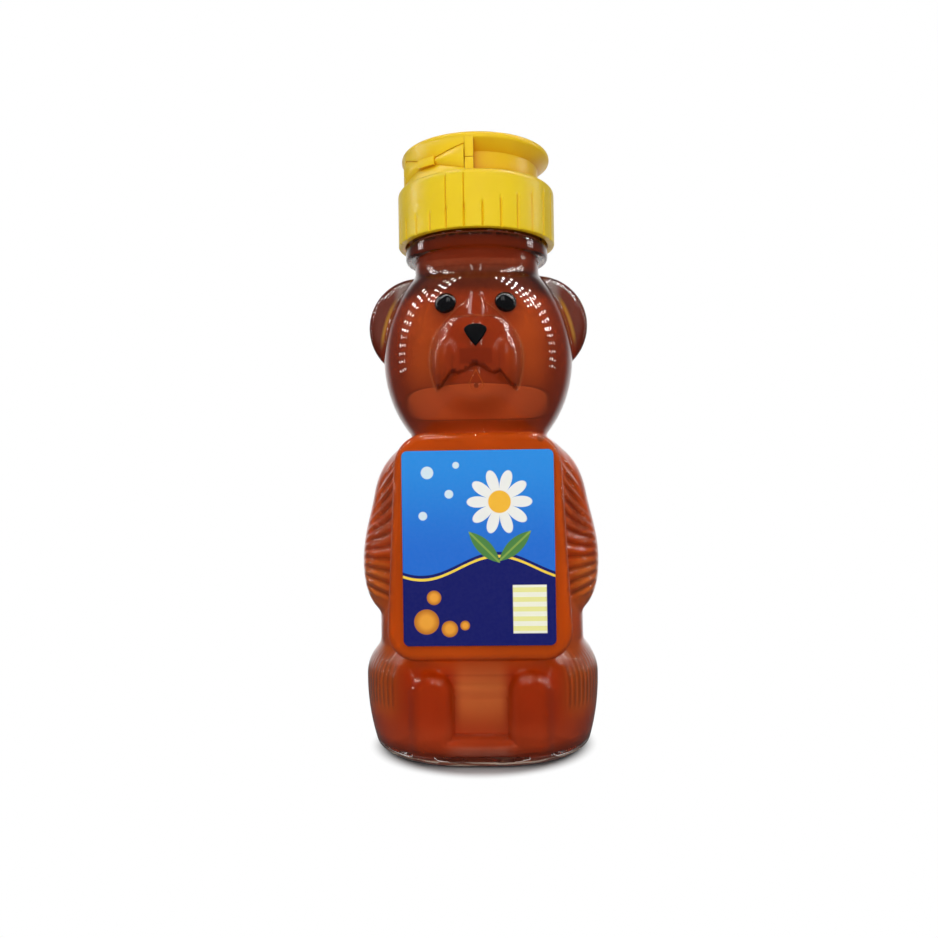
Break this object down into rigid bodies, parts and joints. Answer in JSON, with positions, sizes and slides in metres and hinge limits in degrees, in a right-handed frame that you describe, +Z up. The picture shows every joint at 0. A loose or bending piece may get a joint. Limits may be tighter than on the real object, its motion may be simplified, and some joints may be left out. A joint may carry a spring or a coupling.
{
  "type": "honey bear bottle",
  "caption": "Clear squeeze bottle shaped like a sitting bear, filled with honey, with a plain label panel and a yellow screw cap whose flip-top lid covers a pouring spout.",
  "frame": {"origin": "middle of the object's footprint, on the surface it stands on", "axes": "+Z up along the neck, the bear faces -Y, +X to the right seen from the front"},
  "size_m": [0.0534, 0.047, 0.136],
  "materials": {
    "clear_plastic": "clear, glossy",
    "honey": "clear amber, wet",
    "label_paper": "coated, satin",
    "black_gloss": "glossy",
    "white_foam": "matte",
    "yellow_plastic": "fine satin"
  },
  "bodies": {
    "bottle": {"bottle": "clear_plastic", "honey_fill": "honey", "front_label": "label_paper", "left_eye": "black_gloss", "right_eye": "black_gloss", "nose": "black_gloss"},
    "seal": {"cap_liner": "white_foam"},
    "cap": {"cap_base": "yellow_plastic", "hinge_strap": "yellow_plastic", "hinge_wing_left": "yellow_plastic", "hinge_wing_right": "yellow_plastic"},
    "lid": {"cap_lid": "yellow_plastic"}
  },
  "joints": [
    {"name": "cap_lift", "type": "slide", "parent": "bottle", "child": "seal", "axis": [0, 0, 1], "range_m": [0, 0.0128]},
    {"name": "cap_turn", "type": "hinge", "parent": "seal", "child": "cap", "pos_m": [0, 0, 0.12], "axis": [0, 0, 1], "range_deg": [0, 1080]},
    {"name": "lid_flip", "type": "hinge", "parent": "cap", "child": "lid", "pos_m": [-0.01052, -0.01448, 0.1303], "axis": [0.809, -0.5878, 0], "range_deg": [0, 170], "deforming": ["hinge_strap", "hinge_wing_left", "hinge_wing_right"]}
  ],
  "couplings": [
    {"joint": "cap_lift", "follows": "cap_turn", "m_per_rad": 0.0006737}
  ]
}
